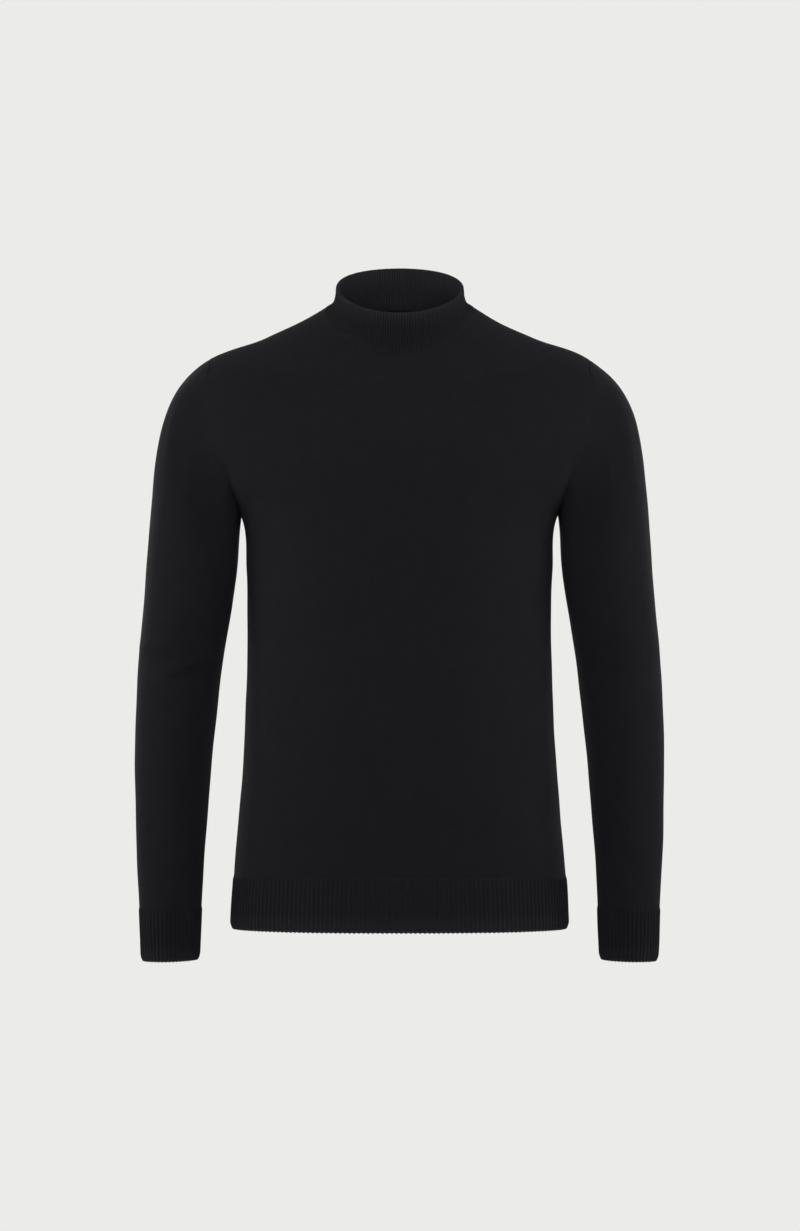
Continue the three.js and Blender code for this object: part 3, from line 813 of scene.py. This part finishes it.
# ---- Finishes ----
class Wire:
    """An output of a material's nodes. Sums, differences, products and powers of numbers
    add Math nodes, so that a formula reads as it is written."""

    def __init__(self, finish, output):
        self.finish = finish
        self.output = output

    def math(self, operation, *others):
        return self.finish.add("ShaderNodeMath", {"operation": operation}, [self, *others])

    def __add__(self, other):
        return self.math("ADD", other)

    def __mul__(self, other):
        return self.math("MULTIPLY", other)

    def __sub__(self, other):
        return self.math("SUBTRACT", other)

    def __rsub__(self, other):
        return (self * -1).math("ADD", other)

    def __pow__(self, other):
        return self.math("POWER", other)

    __radd__ = __add__
    __rmul__ = __mul__

    def fract(self):
        return self.math("FRACT")

    def sine(self):
        return self.math("SINE")

    def cosine(self):
        return self.math("COSINE")

    def size(self):
        return self.math("ABSOLUTE")

    def at_least(self, least):
        return self.math("MAXIMUM", least)

    def beside(self, output):
        """Another output of the same node."""
        return Wire(self.finish, self.output.node.outputs[output])


class Finish:
    """The nodes of a material or of the room around it."""

    def __init__(self, holder):
        self.holder = holder
        holder.use_nodes = True
        self.tree = holder.node_tree
        self.tree.nodes.clear()

    def add(self, kind, settings, inputs, output=0):
        """One node: its settings first, then the values or wires of its sockets, given
        as a list in order or as a dictionary by name. Returns its output as a wire."""
        node = self.tree.nodes.new(kind)
        for name, value in settings.items():
            setattr(node, name, value)
        pairs = inputs.items() if isinstance(inputs, dict) else enumerate(inputs)
        for socket, value in pairs:
            if isinstance(value, Wire):
                self.tree.links.new(value.output, node.inputs[socket])
            else:
                node.inputs[socket].default_value = value
        return Wire(self, node.outputs[output]) if len(node.outputs) else None

    def noise(self, place, scale, detail, rough=0.5):
        """Fractal noise from 0 to 1 at a place."""
        return self.add(
            "ShaderNodeTexNoise",
            {"noise_dimensions": "3D"},
            {"Vector": place, "Scale": scale, "Detail": detail, "Roughness": rough},
        )

    def blend(self, share, first, second):
        """A colour between two, by a share from 0 to 1. The Mix node's sockets for colours
        are 6 and 7, and its colour output is 2."""
        return self.add(
            "ShaderNodeMix", {"data_type": "RGBA"}, {0: share, 6: first, 7: second}, 2
        )

    def field(self, name):
        """A named value of the mesh's points."""
        return self.add("ShaderNodeAttribute", {"attribute_name": name}, [], "Fac")

    def surface(self, sockets):
        """The material's one surface, from its shader's sockets by name."""
        shader = self.add("ShaderNodeBsdfPrincipled", {}, sockets)
        self.add("ShaderNodeOutputMaterial", {}, {"Surface": shader})


# The yarn and its stitches. Scales are in noise cells a metre.
SLUB_SCALE = 70  # yarn that is thick and thin by turns
FIBRE_SCALE = 1100  # loose fibres
WANDER_SCALE = 160  # stitches that wander aside
WANDER = 0.35  # and how far they do, in wales
STREAK = (0.9, 0.012)  # cells of paler or darker wales, for each wale across and course along
LEG_LEAN = 0.8  # how far a leg's outer side is ahead of its inner side, in courses
LEG_POWER = 0.6  # below 1, a leg is flatter on top than a sine
LEG_SWELL = 0.3  # along its course a leg dips by up to twice this from its height of 1
STITCH_DEPTH = 0.0005  # height of the stitches' relief, in metres
BUMP = 0.7  # how strongly the light shows it
PALE_RANGE = (0.35, 0.72)  # values of the mixed noise between which dark goes to light
HOLLOW_SHADE = {"stitch": 0.45, "rib": 0.55, "seam": 0.1, "most": 0.8}  # how far each pulls the colour to the hollow colour, which is painted shade: between stitches, in rib grooves and in a drawn-in seam; most is the limit


def knitted(name, dark, light, hollow_shade, edge_highlight_colour, rough, has_ribs):
    """Fine black knit. Its relief is the stitches: in each wale two round legs lean
    together and part again once a course. Fine noise on the cloth stands for the loose
    fibres, and coarse noise for yarn that is spun and knitted a little unevenly.
    Colour goes from dark to light with the noise and with painted light along the seams, to the
    hollow colour as painted shade between the stitches, in the grooves of ribs and in a drawn-in
    seam, and to the edge colour as a painted highlight at a free edge and inside the collar."""
    finish = Finish(bpy.data.materials.new(name))
    place = finish.add("ShaderNodeTexCoord", {}, [], "Object")
    stitches = finish.add("ShaderNodeUVMap", {"uv_map": "stitches"}, [])
    wale = finish.add("ShaderNodeSeparateXYZ", {}, [stitches])
    course = wale.beside(1)
    seam = finish.field("seam")

    slub = finish.noise(place, SLUB_SCALE, 2)
    fibre = finish.noise(place, FIBRE_SCALE, 3, 0.7)
    drifted = wale + (finish.noise(place, WANDER_SCALE, 2) - 0.5) * WANDER
    aside = (drifted.fract() - 0.5).size() * 2
    leg = (aside * np.pi).sine()
    lean = (course + aside * LEG_LEAN).fract() * (2 * np.pi)
    stitch = leg.size() ** LEG_POWER * (lean.cosine() * LEG_SWELL + (1 - LEG_SWELL))
    across, along = STREAK
    streak = finish.add("ShaderNodeCombineXYZ", {}, [wale * across, course * along, 0.0])
    streak = finish.noise(streak, 1.0, 2)
    height = stitch * (0.75 + 0.5 * slub) + fibre * 0.55 + streak * 0.12

    # the seam term is painted light along the seams
    shade = fibre * 0.75 + slub * 0.15 + streak * 0.15 + seam * 0.05
    low, high = PALE_RANGE
    pale = finish.add(
        "ShaderNodeMapRange", {}, {"Value": shade, "From Min": low, "From Max": high}
    )
    colour = finish.blend(pale, dark, light)
    # painted shade between the stitches and in a drawn-in seam
    deep = (1 - stitch) * HOLLOW_SHADE["stitch"] + (seam * -HOLLOW_SHADE["seam"]).at_least(0.0)
    if has_ribs:
        # painted shade in the grooves of ribs
        crest = finish.field("crest")
        edge_highlight = finish.field("edge_highlight")
        deep = deep + (1 - crest) * HOLLOW_SHADE["rib"]
        # painted highlight at a free edge, and painted light on the collar's inside
        colour = finish.blend(edge_highlight * (fibre * 0.5 + 0.75), colour, edge_highlight_colour)
    deep = finish.add("ShaderNodeClamp", {}, [deep])
    # the hollow colour is painted shade in the recesses
    colour = finish.blend(deep * HOLLOW_SHADE["most"], colour, hollow_shade)
    relief_normal = {"Strength": BUMP, "Distance": STITCH_DEPTH, "Height": height}
    finish.surface(
        {
            "Base Color": colour,
            "Roughness": rough + fibre * 0.12 - streak * 0.05,
            "Metallic": 0.0,
            "Specular IOR Level": 0.05,
            "Sheen Weight": 0.022,
            "Sheen Roughness": 0.45,
            "Sheen Tint": (0.80, 0.76, 0.92, 1.0),
            "Normal": finish.add("ShaderNodeBump", {}, relief_normal),
        }
    )
    return finish.holder


MATERIALS = {
    "knit": knitted(
        "black fine knit",
        dark=(0.0068, 0.0065, 0.0079, 1),
        light=(0.0124, 0.0119, 0.0146, 1),
        # the next colour is the painted shade in the recesses
        hollow_shade=(0.0022, 0.0021, 0.0026, 1),
        # the next colour is the painted highlight at free edges
        edge_highlight_colour=(0.0200, 0.0194, 0.0225, 1),
        rough=0.84,
        has_ribs=False,
    ),
    "rib": knitted(
        "black rib knit",
        dark=(0.0077, 0.0075, 0.0088, 1),
        light=(0.0132, 0.0129, 0.0151, 1),
        # the next colour is the painted shade in the recesses
        hollow_shade=(0.0024, 0.0023, 0.0028, 1),
        # the next colour is the painted highlight at free edges
        edge_highlight_colour=(0.0260, 0.0254, 0.0285, 1),
        rough=0.86,
        has_ribs=True,
    ),
}

# ---- The sweater ----
# A piece's flat cut: the sides of the rectangle that it is cut from, in metres, and its area
# in square metres. The collar's is its outer layer, since the inner one is folded in. No piece
# is given one here.
Cut = namedtuple("Cut", "width length area")


def dress(name, node, grids, closed, slot):
    """A piece of the sweater as an object that stands for its CAD node."""
    outer, inner, stitches, fields = grids
    piece = shell(name, outer, inner, closed, stitches, fields)
    piece.data.materials.append(MATERIALS[slot])
    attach(piece, "root")
    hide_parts(node)


def turned_over(grids):
    """The wearer's right piece from the left one's grids."""
    outer, inner, stitches, fields = grids
    flipped = {name: (a[:, ::-1], b[:, ::-1]) for name, (a, b) in fields.items()}
    return mirrored(outer), mirrored(inner), stitches[:, ::-1], flipped


def on_both_sides(make, name, node, slot):
    """A tube of the wearer's left, and one of the right."""
    dress(name + "_left", node + "_left", make(1), True, slot)
    dress(name + "_right", node + "_right", turned_over(make(-1)), True, slot)


for facing in ("front", "back"):
    dress(facing + "_knit", facing, panel(facing), False, "knit")
    dress("hem_" + facing, "hem_rib_" + facing, hem_rib(facing), False, "rib")
on_both_sides(sleeve_tube, "sleeve_knit", "sleeve", "knit")
on_both_sides(cuff_rib, "cuff_knit", "cuff", "rib")
dress("collar_knit", "collar", collar_tube(), True, "rib")


# ---- Room, light and camera ----
FLOOR_RADIUS = 1.8
FLOOR_LEVEL = -1.4
LAMP_SIZE = 1.4  # side of each soft box, in metres

# Soft boxes: place, target, power in watts and how wide the light spreads, in degrees.
Lamp = namedtuple("Lamp", "place target power spread")
LAMPS = {
    "front": Lamp((0, -2.8, 0.9), (0, 0, 0.2), 8.3, 64),
    "front left": Lamp((-1.7, -2.3, 0.3), (-0.4, 0, -0.5), 3.3, 50),
    "front right": Lamp((1.7, -2.3, 0.3), (0.4, 0, -0.5), 2.8, 50),
    "left side": Lamp((-2.6, -0.1, 0.2), (-0.2, 0, -0.2), 9.5, 80),
    "right side": Lamp((2.6, -0.1, 0.2), (0.2, 0, -0.2), 9.9, 80),
    "back": Lamp((0, 3.0, 0.2), (0, 0, -0.2), 8, 80),
    "back left": Lamp((-1.7, 2.4, 0.3), (0, 0, -0.2), 9, 80),
    "back right": Lamp((1.7, 2.4, 0.3), (0, 0, -0.2), 7, 80),
}


def disc(name, radius, height, sides=96):
    """A flat round floor: one many-sided face."""
    turns = np.linspace(0, 2 * np.pi, sides + 1)[:-1]
    rim = np.stack([radius * np.cos(turns), radius * np.sin(turns), 0 * turns + height], axis=-1)
    mesh = bpy.data.meshes.new(name)
    mesh.from_pydata(rim.tolist(), [], [list(range(len(rim)))])
    floor = bpy.data.objects.new(name, mesh)
    bpy.context.scene.collection.objects.link(floor)
    return floor


def shine(name, lamp):
    """A soft square light, turned to its target, and not seen itself."""
    data = bpy.data.lights.new(name, "AREA")
    data.shape = "SQUARE"
    data.size = LAMP_SIZE
    data.energy = lamp.power
    data.spread = np.radians(lamp.spread)
    light = bpy.data.objects.new(name, data)
    bpy.context.scene.collection.objects.link(light)
    light.location = lamp.place
    way = Vector(lamp.target) - Vector(lamp.place)
    light.rotation_euler = way.to_track_quat("-Z", "Y").to_euler()
    light.visible_camera = False


scene = bpy.context.scene
for name, lamp in LAMPS.items():
    shine(name, lamp)

# The floor is paper whose own faint glow evens out its shade, for the camera only.
floor = disc("floor", FLOOR_RADIUS, FLOOR_LEVEL)
paper = Finish(bpy.data.materials.new("pale floor"))
grain = paper.noise(paper.add("ShaderNodeTexCoord", {}, [], "Object"), 3.0, 2)
looked_at = paper.add("ShaderNodeLightPath", {}, [], "Is Camera Ray")
paper.surface(
    {
        "Base Color": paper.blend(grain, (0.80, 0.80, 0.79, 1), (0.84, 0.84, 0.83, 1)),
        "Roughness": 0.9,
        "Emission Color": paper.blend(looked_at, (0, 0, 0, 1), (0.42, 0.425, 0.412, 1)),
        "Emission Strength": 1.0,
    }
)
floor.data.materials.append(paper.holder)

# The wall behind is what the camera sees of the world, and the air around gives less light.
world = bpy.data.worlds.new("pale room")
scene.world = world
room = Finish(world)
seen = room.add("ShaderNodeLightPath", {}, [], "Is Camera Ray")
wall = room.add("ShaderNodeBackground", {}, {"Color": (0.831, 0.838, 0.815, 1), "Strength": 1.0})
air = room.add("ShaderNodeBackground", {}, {"Color": (0.83, 0.83, 0.83, 1), "Strength": 0.08})
room.add(
    "ShaderNodeOutputWorld",
    {},
    {"Surface": room.add("ShaderNodeMixShader", {}, {0: seen, 1: air, 2: wall})},
)

camera = bpy.data.objects.new("camera", bpy.data.cameras.new("camera"))
scene.collection.objects.link(camera)
camera.data.sensor_width = 36
camera.data.lens = 106.35
camera.data.clip_start = 0.1
camera.data.clip_end = 50
camera.location = (0.0005, -4.0, -0.335)
camera.rotation_euler = (QUARTER, 0, 0)
scene.camera = camera
scene.view_settings.view_transform = "Standard"
scene.view_settings.look = "None"
